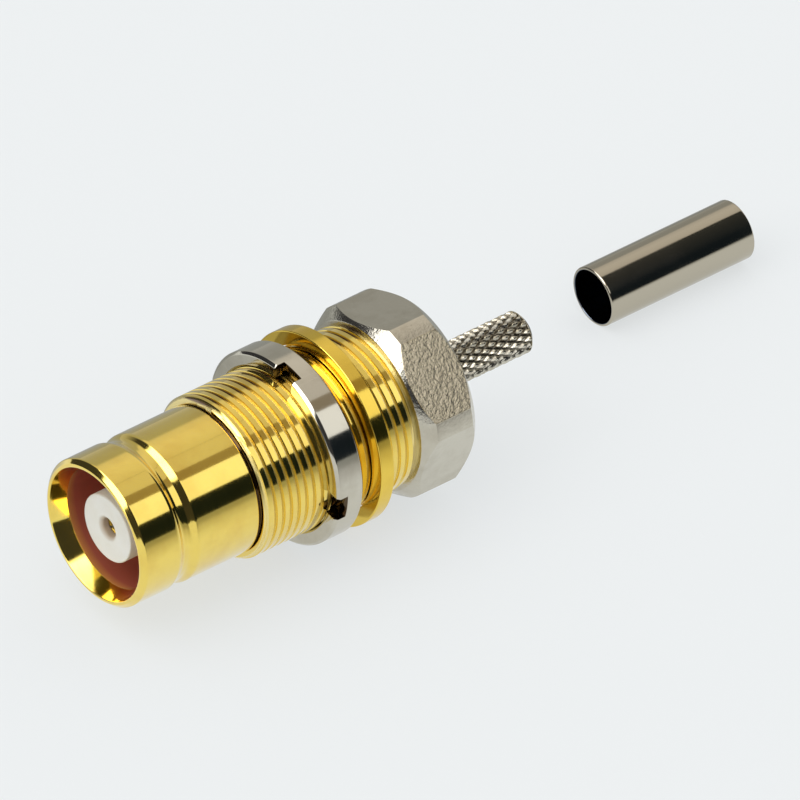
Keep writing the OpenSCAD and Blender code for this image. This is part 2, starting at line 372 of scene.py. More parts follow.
def cut_slot(bm, angle, width, floor_x):
    """Mills a slot radially through a ring, from its front face to floor_x. Returns the new faces."""
    out = outward(angle)
    side = out.cross(Vector((1, 0, 0)))
    for offset in (-width / 2, width / 2):
        cut(bm, side * offset, side)
    cut(bm, (floor_x, 0, 0), (1, 0, 0))
    milled = []
    for face in bm.faces:
        middle = face.calc_center_median()
        if middle.dot(out) > 0 and abs(middle.dot(side)) < width / 2 and middle.x < floor_x:
            milled.append(face)
    bmesh.ops.delete(bm, geom=milled, context="FACES")
    rim = open_edges(bm)
    near = 0.001 * MM
    faces, sills = [], []
    for offset in (-width / 2, width / 2):
        wall = [e for e in rim if all(abs(v.co.dot(side) - offset) < near for v in e.verts)]
        corners = {v for e in wall for v in e.verts if abs(v.co.x - floor_x) < near}
        sill = bm.edges.new(list(corners))
        sills.append(sill)
        faces += bmesh.ops.edgeloop_fill(bm, edges=wall + [sill])["faces"]
    floor = [e for e in rim if all(abs(v.co.x - floor_x) < near for v in e.verts)]
    return faces + bmesh.ops.edgeloop_fill(bm, edges=floor + sills)["faces"]


def soften(bm, faces):
    """Rounds the edges of milled faces."""
    edges = list({e for face in faces for e in face.edges})
    bmesh.ops.bevel(bm, geom=edges, offset=BURR, offset_type="OFFSET", segments=2, profile=0.5,
                    affect="EDGES", material=-1, clamp_overlap=True)


def piece(bm, name, material, body, node):
    """Makes the finished object, sets it on its body and puts it in its node's place."""
    mesh = bpy.data.meshes.new(name)
    bm.to_mesh(mesh)
    bm.free()
    mesh.shade_smooth()
    mesh.set_sharp_from_angle(angle=radians(SHARP_ANGLE))
    mesh.materials.append(material)
    thing = bpy.data.objects.new(name, mesh)
    bpy.context.scene.collection.objects.link(thing)
    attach(thing, body)
    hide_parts(node)


def thread_height(turns):
    """Height of the thread, from 0 in the root to 1 on the crest, at a place counted in pitches."""
    away = abs(turns % 1.0 - 0.5)               # 0 at the crest's middle, 0.5 at the root's
    root = 0.5 - ROOT_HALF
    return max(0.0, min(1.0, (root - away) / (root - CREST_HALF)))


def knurl_height(along, around):
    """Height of a diamond knurl, 1 on its diamonds and 0 in its grooves, at a place in diamonds."""
    rising = abs((along + around) % 1.0 - 0.5) * 2.0
    falling = abs((along - around) % 1.0 - 0.5) * 2.0
    return min(1.0, (1.0 - max(rising, falling)) / (1.0 - KNURL_LAND))


# ---------------------------------------------------------------- materials

def node(tree, kind, label, place, inputs=None, **settings):
    """Adds a node. Each of its inputs is a value, or the output that is linked to it."""
    made = tree.nodes.new(kind)
    made.label = label
    made.location = place
    for name, setting in settings.items():
        setattr(made, name, setting)
    for key, value in (inputs or {}).items():
        if isinstance(value, bpy.types.NodeSocket):
            tree.links.new(value, made.inputs[key])
        else:
            made.inputs[key].default_value = value
    return made


def calculate(tree, label, place, operation, *values):
    """The result of a sum on values or outputs."""
    return node(tree, "ShaderNodeMath", label, place, dict(enumerate(values)), operation=operation).outputs[0]


def ranged(tree, label, place, value, low, high, to_low=0.0, to_high=1.0):
    """A value brought from one range to another, and kept within it."""
    made = node(tree, "ShaderNodeMapRange", label, place, {
        "Value": value, "From Min": low, "From Max": high, "To Min": to_low, "To Max": to_high})
    return made.outputs["Result"]


def both(tree, label, place, first, second):
    """A mask that holds only where two masks hold."""
    return calculate(tree, label, place, "MULTIPLY", first, second)


def mixed(tree, label, place, mask, first, second):
    """Mixes two colours, each a value or an output, by a mask."""
    made = node(tree, "ShaderNodeMix", label, place, {
        "Factor": mask, MIX_FIRST: first, MIX_SECOND: second}, data_type="RGBA")
    return made.outputs[MIX_RESULT]


def split(tree, label, place, vector):
    """The X, Y and Z of a vector."""
    return node(tree, "ShaderNodeSeparateXYZ", label, place, {0: vector}).outputs


def from_axis(tree, place, vector):
    """Distance of a place from the X axis, in millimetres."""
    flat = node(tree, "ShaderNodeVectorMath", "Across the axis", place, {0: vector, 1: (0.0, 1.0, 1.0)},
                operation="MULTIPLY")
    radius = node(tree, "ShaderNodeVectorMath", "Radius", (place[0] + 180, place[1]), {0: flat.outputs[0]},
                  operation="LENGTH")
    return radius.outputs["Value"]


def towards(tree, label, place, vector, angle):
    """How far a place lies out from the axis at an angle from the top, in millimetres."""
    made = node(tree, "ShaderNodeVectorMath", label, place, {0: vector, 1: outward(angle)},
                operation="DOT_PRODUCT")
    return made.outputs["Value"]


def group(name, levels, output):
    """A new shader node group that takes a place and some levels. Returns it, its input and its output."""
    tree = bpy.data.node_groups.new(name, "ShaderNodeTree")
    tree.interface.new_socket(name="Place", in_out="INPUT", socket_type="NodeSocketVector")
    for label, level in levels.items():
        socket = tree.interface.new_socket(name=label, in_out="INPUT", socket_type="NodeSocketFloat")
        socket.default_value = level
    tree.interface.new_socket(name=output, in_out="OUTPUT", socket_type="NodeSocketFloat")
    start = node(tree, "NodeGroupInput", "In", (-900, 0))
    end = node(tree, "NodeGroupOutput", "Out", (500, 0))
    return tree, start.outputs, end.inputs


def lathe_marks():
    """Fine rings left by turning: they vary along the axis and across end faces."""
    name = "lathe_marks"
    if name in bpy.data.node_groups:
        return bpy.data.node_groups[name]
    tree, start, end = group(name, {"Lines per mm": 12.0, "Waviness": 0.05}, "Height")
    place = start["Place"]
    wave = node(tree, "ShaderNodeTexNoise", "Wave", (-520, -260), {
        "Vector": place, "Scale": 0.8, "Detail": 1.0})
    sway = calculate(tree, "Sway", (-340, -260), "MULTIPLY", wave.outputs["Fac"], start["Waviness"])
    along = calculate(tree, "Along", (-340, 60), "ADD", split(tree, "Axis", (-700, 100), place)["X"], sway)
    spot = node(tree, "ShaderNodeCombineXYZ", "Ring place", (-160, 20), {
        "X": along, "Y": from_axis(tree, (-700, -80), place)})
    dense = node(tree, "ShaderNodeVectorMath", "Dense", (0, 20), {
        0: spot.outputs[0], "Scale": start["Lines per mm"]}, operation="SCALE")
    rings = node(tree, "ShaderNodeTexNoise", "Rings", (180, 20), {
        "Vector": dense.outputs[0], "Scale": 1.0, "Detail": 3.0, "Roughness": 0.65})
    tree.links.new(rings.outputs["Fac"], end["Height"])
    return tree


def speckle():
    """Grain or patches: a noise cut between two levels."""
    name = "speckle"
    if name in bpy.data.node_groups:
        return bpy.data.node_groups[name]
    tree, start, end = group(name, {"Grains per mm": 6.0, "Low": 0.4, "High": 0.6}, "Mask")
    noise = node(tree, "ShaderNodeTexNoise", "Noise", (-280, 0), {
        "Vector": start["Place"], "Scale": start["Grains per mm"], "Detail": 4.0, "Roughness": 0.6})
    mask = ranged(tree, "Levels", (60, 0), noise.outputs["Fac"], start["Low"], start["High"])
    tree.links.new(mask, end["Mask"])
    return tree


def ringed(tree, place, vector, per_mm):
    """The height of turning rings."""
    made = node(tree, "ShaderNodeGroup", "Turning rings", place, {"Place": vector, "Lines per mm": per_mm},
                node_tree=lathe_marks())
    return made.outputs["Height"]


def speckled(tree, label, place, vector, per_mm, low, high):
    """A mask of grain or patches."""
    made = node(tree, "ShaderNodeGroup", label, place, {
        "Place": vector, "Grains per mm": per_mm, "Low": low, "High": high}, node_tree=speckle())
    return made.outputs["Mask"]


def blank(name):
    """A new material. Returns it, its tree, its Principled BSDF and object coordinates in millimetres."""
    material = bpy.data.materials.new(name)
    material.use_nodes = True
    tree = material.node_tree
    tree.nodes.clear()
    shader = node(tree, "ShaderNodeBsdfPrincipled", "Finish", (400, 0))
    node(tree, "ShaderNodeOutputMaterial", "Surface", (700, 0), {"Surface": shader.outputs[0]})
    coords = node(tree, "ShaderNodeTexCoord", "Coordinates", (-1300, 0))
    scale = node(tree, "ShaderNodeMapping", "Millimetres", (-1100, 0), {
        "Vector": coords.outputs["Object"], "Scale": (1 / MM, 1 / MM, 1 / MM)})
    return material, tree, shader, scale.outputs["Vector"]


def linked(socket):
    """The output that is linked to an input."""
    return socket.links[0].from_socket


def bumped(tree, shader, place, height, distance):
    """Gives a surface relief, on top of any that it has."""
    bump = node(tree, "ShaderNodeBump", "Relief", place, {
        "Height": height, "Distance": distance, "Strength": 1.0})
    if shader.inputs["Normal"].is_linked:
        tree.links.new(linked(shader.inputs["Normal"]), bump.inputs["Normal"])
    tree.links.new(bump.outputs["Normal"], shader.inputs["Normal"])


def plated(name, bright, shade, roughness, lines, ring_depth, patches=(0.45, 0.75)):
    """Plated brass with turning rings and patches of another tone.

    Returns the material, its tree, shader and coordinates, and its tone.
    """
    material, tree, shader, place = blank(name)
    rings = ringed(tree, (-700, -200), place, lines)
    patch = speckled(tree, "Patches", (-700, 200), place, 0.45, *patches)
    tone = mixed(tree, "Tone", (-300, 200), patch, bright, shade)
    rough = ranged(tree, "Roughness", (-300, -60), rings, 0.25, 0.75, *roughness)
    shader.inputs["Metallic"].default_value = 1.0
    tree.links.new(tone, shader.inputs["Base Color"])
    tree.links.new(rough, shader.inputs["Roughness"])
    bumped(tree, shader, (100, -300), rings, ring_depth * MM)
    return material, tree, shader, place, tone


def gold_material(finish):
    """Gold plate, with painted shade in the relief, painted light in the thread's roots and a painted dark
    reflection in those on top, and a painted reflection at the lead-in that turns to brick red painted shade
    inside the socket.
    """
    material, tree, shader, place, tone = plated(
        "gold_plate", finish.gold, finish.gold_shade, (0.06, 0.13), 9.0, 0.0003)
    shader.inputs["Coat Weight"].default_value = 1.0
    radius = from_axis(tree, (-1000, 600), place)
    along = split(tree, "Along the axis", (-1000, 800), place)["X"]
    # Painted light: the thread's roots are paler than the crests, to lift their shade
    root = both(tree, "Thread root", (-300, 500),
                ranged(tree, "Low in the thread", (-600, 500), radius, THREAD_R - 0.03, THREAD_R - 0.10),
                ranged(tree, "Behind the relief", (-600, 700), along, THREAD_X, THREAD_X + 0.02))
    # Painted dark reflection: the roots on the top side are darkened
    upper = towards(tree, "Towards the top", (-900, 1200), place, ROOT_REFLECTION_TURN)
    on_top = ranged(tree, "On top", (-600, 1200), upper, THREAD_R - 0.30, THREAD_R - 0.20)
    painted_light_and_shade = mixed(tree, "Grime in the roots", (-300, 400), on_top, finish.pale_gold_and_root_light, finish.root_dark_reflection)
    rooted = mixed(tree, "Root tone", (-100, 300), root, tone, painted_light_and_shade)
    # Painted shade: the relief groove in front of the thread is darkened
    relief = both(tree, "In the relief", (-300, 900),
                  ranged(tree, "Below the barrel", (-600, 1300), radius, BARREL_R - 0.02, BARREL_R - 0.05),
                  ranged(tree, "From the relief on", (-600, 1500), along, RELIEF_X - 0.01, RELIEF_X + 0.01))
    outside = mixed(tree, "Relief tone", (-50, 400), relief, rooted, finish.relief)
    # Painted reflection just inside the lead-in, turning deeper in to brick red painted shade
    inside = both(tree, "Inside the socket", (-100, 700),
                  ranged(tree, "Within the wall", (-600, 900), radius, SOCKET_R + 0.10, SOCKET_R + 0.08),
                  ranged(tree, "Past the lead-in", (-600, 1100), along, LEAD_IN_X - 0.03, LEAD_IN_X + 0.01))
    depth = ranged(tree, "Deep", (-200, 600), along, LEAD_IN_X + 0.05, LEAD_IN_END)
    deep = mixed(tree, "Deep tone", (0, 500), depth, finish.lead_in_reflection, finish.socket_shade)
    tone = mixed(tree, "Inside tone", (150, 300), inside, outside, deep)
    tree.links.new(tone, shader.inputs["Base Color"])
    metallic = ranged(tree, "Metallic", (150, 600), inside, 0.0, 1.0, 1.0, 0.4)
    tree.links.new(metallic, shader.inputs["Metallic"])
    rougher = calculate(tree, "Rougher", (-50, 0), "MAXIMUM", inside, root)
    more = ranged(tree, "By how much", (50, 0), rougher, 0.0, 1.0, 0.0, 0.25)
    rough = calculate(tree, "Rough inside", (150, 100), "ADD", linked(shader.inputs["Roughness"]), more)
    tree.links.new(rough, shader.inputs["Roughness"])
    return material


def hex_material(finish):
    """Grained nickel plate, with one coarse flat of another tone and painted shade in the knurl's grooves."""
    material, tree, shader, place, tone = plated(
        "nickel_plate", finish.nickel, finish.nickel_shade, (0.12, 0.20), 10.0, 0.0004)
    grain = speckled(tree, "Grain", (-700, -500), place, 6.0, 0.3, 0.7)
    bumped(tree, shader, (250, -500), grain, 0.007 * MM)
    radius = from_axis(tree, (-1000, 600), place)
    along = split(tree, "Along the axis", (-1000, 800), place)["X"]
    # Painted shade low in the knurl's grooves
    pits = both(tree, "Knurl pits", (-300, 500),
                ranged(tree, "Low in the knurl", (-600, 500), radius, SPIGOT_R - 0.08, SPIGOT_R - 0.17),
                ranged(tree, "On the spigot", (-600, 700), along, HEX_END, HEX_END + 0.02))
    # A browner tone, set on the front flat only
    facing = towards(tree, "Towards the front flat", (-900, 1000), place, HEX_TURN)
    flat = ranged(tree, "On the front flat", (-600, 1000), facing, HEX_AF / 2 - 0.02, HEX_AF / 2 - 0.01)
    toned_flat = mixed(tree, "Toned flat", (-200, 500), flat, tone, finish.toned_front_flat)
    pitted = mixed(tree, "Pit tone", (0, 300), pits, toned_flat, finish.knurl_groove_shade)
    tree.links.new(pitted, shader.inputs["Base Color"])
    coarse = speckled(tree, "Coarse grain", (-700, -800), place, 4.0, 0.3, 0.7)
    height = both(tree, "Grain of the flat", (-300, -800), coarse, flat)
    bumped(tree, shader, (400, -700), height, 0.016 * MM)
    return material


def nut_material(finish, half, floor_x):
    """Bright nickel plate, with painted shade in slots of a half width that go back to floor_x."""
    material, tree, shader, place, tone = plated(
        "nut_nickel", finish.nickel, finish.nickel_shade, (0.07, 0.13), 11.0, 0.0003)
    across = []
    for angle in (NUT_TURN, NUT_TURN + 90):
        beside = towards(tree, "Beside the slots", (-900, 600 + 2 * angle), place, angle)
        across.append(calculate(tree, "How far", (-700, 600 + 2 * angle), "ABSOLUTE", beside))
    nearest = calculate(tree, "Nearest slot", (-500, 700), "MINIMUM", *across)
    along = split(tree, "Along the axis", (-500, 500), place)["X"]
    # Painted shade in the slots
    slot = both(tree, "In a slot", (-100, 700),
                ranged(tree, "Between its walls", (-300, 800), nearest, half + 0.03, half + 0.01),
                ranged(tree, "Above its floor", (-300, 600), along, floor_x + 0.02, floor_x + 0.01))
    slot_shaded = mixed(tree, "Slot tone", (100, 300), slot, tone, finish.nut_slot_shade)
    tree.links.new(slot_shaded, shader.inputs["Base Color"])
    return material


def ferrule_material(finish, centre, bore):
    """Drawn nickel plate, with painted shade in its bore. The centre is in millimetres."""
    material, tree, shader, place = blank("ferrule_nickel")
    patches = speckled(tree, "Patches", (-700, 200), place, 0.5, 0.4, 0.8)
    amount = calculate(tree, "Tone amount", (-480, 80), "MULTIPLY", patches, 0.35)
    tone = mixed(tree, "Tone", (-300, 200), amount, finish.ferrule, finish.nickel_shade)
    centred = node(tree, "ShaderNodeVectorMath", "From its axis", (-1000, 400), {0: place, 1: centre},
                   operation="SUBTRACT")
    radius = from_axis(tree, (-800, 500), centred.outputs[0])
    # Painted shade in the bore
    bore_shade_mask = ranged(tree, "In the bore", (-400, 500), radius, bore + 0.04, bore + 0.02)
    darker = mixed(tree, "Bore tone", (0, 300), bore_shade_mask, tone, finish.ferrule_bore)
    tree.links.new(darker, shader.inputs["Base Color"])
    shader.inputs["Metallic"].default_value = 1.0
    rough = ranged(tree, "Roughness", (-300, -60), patches, 0.0, 1.0, 0.10, 0.16)
    tree.links.new(rough, shader.inputs["Roughness"])
    drawn = node(tree, "ShaderNodeMapping", "Drawn lines", (-900, -300), {
        "Vector": place, "Scale": (0.15, 5.0, 5.0)})
    marks = speckled(tree, "Drawing marks", (-700, -300), drawn.outputs["Vector"], 1.0, 0.2, 0.8)
    bumped(tree, shader, (100, -300), marks, 0.001 * MM)
    return material


def insulator_material(finish):
    """White fluoropolymer, a little cloudy, with painted shade round the entry hole."""
    material, tree, shader, place = blank("white_fluoropolymer")
    cloud = speckled(tree, "Cloud", (-700, 200), place, 0.9, 0.3, 0.8)
    warm = tuple(c * f for c, f in zip(finish.insulator, (0.93, 0.90, 0.84, 1.0)))
    tone = mixed(tree, "Tone", (-300, 200), cloud, finish.insulator, warm)
    # Painted shade round the entry hole
    hole = ranged(tree, "Round the hole", (-300, 500), from_axis(tree, (-1000, 600), place), 0.72, 0.50)
    amount = calculate(tree, "Painted_shade amount", (-180, 180), "MULTIPLY", hole, 0.9)
    hole_shaded = mixed(tree, "Hole tone", (0, 300), amount, tone, finish.entry_hole_shade)
    tree.links.new(hole_shaded, shader.inputs["Base Color"])
    shader.inputs["Roughness"].default_value = 0.42
    shader.inputs["IOR"].default_value = 1.38
    bumped(tree, shader, (100, -300), ringed(tree, (-700, -200), place, 7.0), 0.001 * MM)
    return material


# ---------------------------------------------------------------- pieces

class JACK_OT_shell(bpy.types.Operator):
    """Gold-plated shell: socket, barrel with its snap groove, relief and panel thread"""
    bl_idname = "jack.shell"
    bl_label = "Outer Shell"

    def execute(self, context):
        sizes, finish = context.scene.jack_sizes, context.scene.jack_finishes
        soft = sizes.edge_softness / MM
        pitch, depth = sizes.thread_pitch / MM, sizes.thread_depth / MM
        front = [
            (0.0, MOUTH_R, 0.03), (0.0, BARREL_R - RIM_CHAMFER, 0.05), (RIM_CHAMFER, BARREL_R, 0.05),
            *((x, BARREL_R - sunk, rounding) for x, sunk, rounding in GROOVE),
            (RELIEF_X, BARREL_R, soft), (RELIEF_X, BARREL_R - RELIEF_DEPTH, soft),
            (THREAD_X, BARREL_R - RELIEF_DEPTH, soft),
        ]
        first = THREAD_X - pitch
        turns = int((HEX_X - first) / pitch) + 1
        stations = [first + (turn + row) * pitch for turn in range(turns) for row in THREAD_ROWS]
        thread = [(x, THREAD_R, 0.0) for x in stations]
        back = [
            (HEX_X, PILOT_R, 0.0), (HEX_X - PILOT_LEN, PILOT_R, 0.0), (HEX_X - PILOT_LEN, LINE_R, 0.0),
            (LIP_X, LINE_R, 0.0), (LIP_X, LINE_R - LIP, soft), (SOCKET_DEPTH, LINE_R - LIP, soft),
            (SOCKET_DEPTH, SOCKET_R, soft), (LEAD_IN_END, SOCKET_R, 0.0), (LEAD_IN_X, LEAD_IN_R, 0.02),
        ]
        bm, last = lathe(front + thread + back, sizes.turn_steps, merge=False)
        for vert in bm.verts:
            if abs(radius_of(vert) - THREAD_R) > NEAR_THREAD:
                continue
            turn = turn_of(vert)
            if vert in last:
                turn = 1.0
            elif turn > 1.0 - SEAM:
                turn = 0.0
            lead = pitch * turn
            x = min(max(vert.co.x / MM + lead, THREAD_X), HEX_X)
            height = thread_height((x - lead - first) / pitch)
            start = THREAD_R - THREAD_CHAMFER + (x - THREAD_X)
            runout = max(THREAD_R - RUNOUT, THREAD_R - RUNOUT_SLOPE * (x - HEX_X + RUNOUT))
            move_to(vert, min(THREAD_R - depth * (1.0 - height), start, runout))
            vert.co.x = x * MM
        close(bm)
        piece(bm, "gold_shell", gold_material(finish), "jack", "outer_shell")
        return {"FINISHED"}


class JACK_OT_rear_body(bpy.types.Operator):
    """Nickel-plated rear body: pilot, hexagon and knurled crimp spigot"""
    bl_idname = "jack.rear_body"
    bl_label = "Rear Body"

    def execute(self, context):
        sizes, finish = context.scene.jack_sizes, context.scene.jack_finishes
        soft = sizes.edge_softness / MM
        pitch, depth = sizes.knurl_pitch / MM, sizes.knurl_depth / MM
        end_x = span("rear_body")[1]
        knurl_from, knurl_to = HEX_END + KNURL_START, end_x - KNURL_END
        rows = int(round((knurl_to - knurl_from) / (pitch / KNURL_STEPS)))
        pilot = [(HEX_X - PILOT_LEN, LINE_R, 0.0), (HEX_X - PILOT_LEN, PILOT_R, 0.0), (HEX_X, PILOT_R, 0.0)]
        hexagon = [
            (HEX_X, HEX_CORNER_R - FRONT_CHAMFER, soft), (HEX_X + FRONT_CHAMFER, HEX_CORNER_R, soft),
            (HEX_END - BACK_CHAMFER, HEX_CORNER_R, soft), (HEX_END, HEX_CORNER_R - BACK_CHAMFER, soft),
        ]
        neck = [(HEX_END, SPIGOT_R - depth, 0.04), (HEX_END + NECK_LEN, SPIGOT_R - depth, 0.0)]
        knurl = [(knurl_from + (knurl_to - knurl_from) * k / rows, SPIGOT_R, 0.0) for k in range(rows + 1)]
        end = [
            (end_x - SPIGOT_CHAMFER, SPIGOT_R - OFF_KNURL, 0.1), (end_x, SPIGOT_R - SPIGOT_CHAMFER, 0.1),
            (end_x, SPIGOT_BORE_R, soft),
        ]
        inside = [
            (HEX_END, SPIGOT_BORE_R, 0.0), (HEX_X + CHAMBER_TO, CABLE_CONE_R, 0.0),
            (HEX_X + CHAMBER_TO, CHAMBER_R, 0.0), (HEX_X + CHAMBER_FROM, CHAMBER_R, 0.0),
            (HEX_X + CHAMBER_FROM, LINE_R, 0.0),
        ]
        points = pilot + hexagon + neck + knurl + end + inside
        bm = lathe(points, sizes.knurl_count * KNURL_STEPS_ROUND)[0]
        for vert in bm.verts:
            if abs(radius_of(vert) - SPIGOT_R) < NEAR_KNURL:
                along = (vert.co.x / MM - knurl_from) / pitch
                height = knurl_height(along, turn_of(vert) * sizes.knurl_count)
                move_to(vert, SPIGOT_R - depth * (1.0 - height))
        close(bm)
        flats = []
        for k in range(6):
            flats += cut_flat(bm, outward(HEX_TURN + 60 * k), HEX_AF / 2 * MM)
        bmesh.ops.recalc_face_normals(bm, faces=bm.faces)
        soften(bm, flats)
        close(bm)
        wide = [f for f in bm.faces if f.calc_area() > WIDE_FLAT]
        bmesh.ops.inset_individual(bm, faces=wide, thickness=HOLD, use_even_offset=True)
        piece(bm, "hex_body", hex_material(finish), "jack", "rear_body")
        return {"FINISHED"}


class JACK_OT_insulators(bpy.types.Operator):
    """White insulators: the nose with its entry hole, and the hidden rear bead"""
    bl_idname = "jack.insulators"
    bl_label = "Insulators"

    def execute(self, context):
        front, back, _ = span("front_insulator")
        nose_bore = CONTACT_R + NOSE_CLEARANCE
        bm = turned([
            (front, ENTRY_R + ENTRY_FLARE, 0.07), (front, NOSE_R, 0.08), (LIP_X, NOSE_R, 0.0),
            (LIP_X, LINE_R, 0.0), (back, LINE_R, 0.0), (back, CONTACT_R, 0.0), (LIP_X, CONTACT_R, 0.0),
            (LIP_X, nose_bore, 0.0), (front + ENTRY_DEPTH, nose_bore, 0.0),
            (front + ENTRY_DEPTH, ENTRY_R, 0.0), (front + ENTRY_FLARE, ENTRY_R, 0.07),
        ], context.scene.jack_sizes.turn_steps)
        material = insulator_material(context.scene.jack_finishes)
        piece(bm, "insulator_nose", material, "jack", "front_insulator")
        bead = frame["nodes"]["rear_insulator"]
        bead.data.materials.clear()
        bead.data.materials.append(material)
        return {"FINISHED"}


class JACK_OT_contact(bpy.types.Operator):
    """Gold-plated centre contact: slotted spring socket and solder cup"""
    bl_idname = "jack.contact"
    bl_label = "Centre Contact"

    def execute(self, context):
        finish = context.scene.jack_finishes
        front, back, _ = span("centre_contact")
        collar_from, collar_to, collar_r = COLLAR_FROM, COLLAR_TO, CONTACT_R + COLLAR
        bm = turned([
            (front, PIN_R, 0.08), (front, CONTACT_R, 0.05), (collar_from, CONTACT_R, 0.0),
            (collar_from, collar_r, 0.03), (collar_to, collar_r, 0.03), (collar_to, CONTACT_R, 0.0),
            (back, CONTACT_R, 0.03), (back, CUP_R, 0.03), (back - CUP_DEPTH, CUP_R, 0.0),
            (back - CUP_DEPTH, POLE_R, 0.0), (front + PIN_DEPTH, POLE_R, 0.0),
            (front + PIN_DEPTH, PIN_R, 0.0),
        ], CONTACT_STEPS)
        for k in range(FINGERS):
            cut_slot(bm, FINGER_TURN + 360 / FINGERS * k, FINGER_SLOT * MM, (front + FINGER_LEN) * MM)
        close(bm)
        material = plated("contact_gold", finish.gold_shade, finish.pale_gold_and_root_light, (0.50, 0.60), 9.0, 0.0006)[0]
        piece(bm, "spring_contact", material, "jack", "centre_contact")
        return {"FINISHED"}


class JACK_OT_ring_nut(bpy.types.Operator):
    """Nickel-plated ring nut with spanner slots across its front face"""
    bl_idname = "jack.ring_nut"
    bl_label = "Ring Nut"

    def execute(self, context):
        sizes = context.scene.jack_sizes
        soft = sizes.edge_softness / MM
        front, back, r = span("ring_nut")
        bore = THREAD_R + NUT_CLEARANCE
        bm = turned([
            (front, bore + BORE_CHAMFER, 0.02), (front, r - NUT_CHAMFER, soft),
            (front + NUT_CHAMFER, r, soft), (back - NUT_CHAMFER, r, soft), (back, r - NUT_CHAMFER, soft),
            (back, bore + BORE_CHAMFER, 0.02), (back - BORE_CHAMFER, bore, 0.0),
            (front + BORE_CHAMFER, bore, 0.0),
        ], sizes.turn_steps)
        walls = []
        for k in range(NUT_SLOTS):
            angle = NUT_TURN + 360 / NUT_SLOTS * k
            walls += cut_slot(bm, angle, sizes.slot_width, front * MM + sizes.slot_depth)
        bmesh.ops.recalc_face_normals(bm, faces=bm.faces)
        soften(bm, walls)
        close(bm)
        half, floor_x = sizes.slot_width / MM / 2, front + sizes.slot_depth / MM
        material = nut_material(context.scene.jack_finishes, half, floor_x)
        piece(bm, "slotted_ring_nut", material, "ring_nut", "ring_nut")
        return {"FINISHED"}


class JACK_OT_washer(bpy.types.Operator):
    """Gold-plated flat washer on the thread"""
    bl_idname = "jack.washer"
    bl_label = "Washer"

    def execute(self, context):
        finish = context.scene.jack_finishes
        bm = ring(span("washer"), THREAD_R + WASHER_CLEARANCE, 0.06, context.scene.jack_sizes.turn_steps)
        material = plated(
            "dull_gold", finish.washer, finish.gold_shade, (0.08, 0.14), 9.0, 0.0003, patches=(0.35, 0.65))[0]
        piece(bm, "flat_washer", material, "washer", "washer")
        return {"FINISHED"}


class JACK_OT_ferrule(bpy.types.Operator):
    """Smooth nickel-plated crimp ferrule, lying loose behind the jack"""
    bl_idname = "jack.ferrule"
    bl_label = "Crimp Ferrule"

    def execute(self, context):
        bore = mount("ferrule_bore")["dims"]["r_mm"]
        bm = ring(span("crimp_ferrule"), bore, 0.08, FERRULE_STEPS)
        low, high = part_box("crimp_ferrule")
        centre = Vector((0.0, (low[1] + high[1]) / 2, (low[2] + high[2]) / 2))
        bmesh.ops.translate(bm, verts=bm.verts, vec=centre)
        material = ferrule_material(context.scene.jack_finishes, centre / MM, bore)
        piece(bm, "loose_ferrule", material, "jack", "crimp_ferrule")
        return {"FINISHED"}


# ---------------------------------------------------------------- stage

def stepped(tree, label, place, value, stops):
    """A colour ramp, of tones at places between the first place and the last."""
    ramp = node(tree, "ShaderNodeValToRGB", label, place, {"Fac": value})
    elements = ramp.color_ramp.elements
    while len(elements) > 1:
        elements.remove(elements[-1])
    low, high = stops[0][0], stops[-1][0]
    elements[0].position = 0.0
    elements[0].color = (*stops[0][1], 1.0)
    for at, tone in stops[1:]:
        elements.new((at - low) / (high - low)).color = (*tone, 1.0)
    return ramp.outputs["Color"]


def studio_world(settings):
    """Even light on what scatters it, and studio walls of several tones for the metal to mirror."""
    world = bpy.data.worlds.new("studio")
    bpy.context.scene.world = world
    world.use_nodes = True
    tree = world.node_tree
    tree.nodes.clear()
    coords = node(tree, "ShaderNodeTexCoord", "Direction", (-900, 0))
    ways = split(tree, "Split", (-700, 0), coords.outputs["Generated"])
    front = calculate(tree, "Towards the front", (-500, 0), "MULTIPLY", ways["Y"], -1.0)
    around = calculate(tree, "Angle from the top", (-300, 0), "ARCTAN2", front, ways["Z"])
    share = ranged(tree, "Share of a turn", (-100, 0), around, -pi, pi)
    walls = stepped(tree, "Studio walls", (100, 0), share, WALLS)
    bright = (settings.side_level,) * 3
    stops = [
        (-180, FAR), (-98, FAR), (-90, DARK), (-39, DARK), (-32, bright),
        (20, bright), (28, DARK), (89, DARK), (93, FAR), (180, FAR),
    ]
    end_wall = stepped(tree, "Wall that the open end faces", (100, -250), share, stops)
    side = ranged(tree, "Towards the open end", (100, -500), ways["X"], 0.0, END_WALL_FULL)
    mirrored = mixed(tree, "Side wall", (500, -100), side, walls, end_wall)
    rays = node(tree, "ShaderNodeLightPath", "Rays", (300, 400)).outputs
    even = mixed(tree, "Even light", (700, 0), rays["Is Diffuse Ray"], mirrored, WHITE)
    seen = calculate(tree, "Seen straight or through", (500, 300), "MAXIMUM",
                     rays["Is Camera Ray"], rays["Is Transmission Ray"])
    lit = (*(c * FLOOR_LIT for c in settings.floor[:3]), 1.0)
    final = mixed(tree, "Background", (900, 0), seen, even, lit)
    background = node(tree, "ShaderNodeBackground", "Studio", (1100, 0), {"Color": final})
    node(tree, "ShaderNodeOutputWorld", "World", (1300, 0), {"Surface": background.outputs[0]})


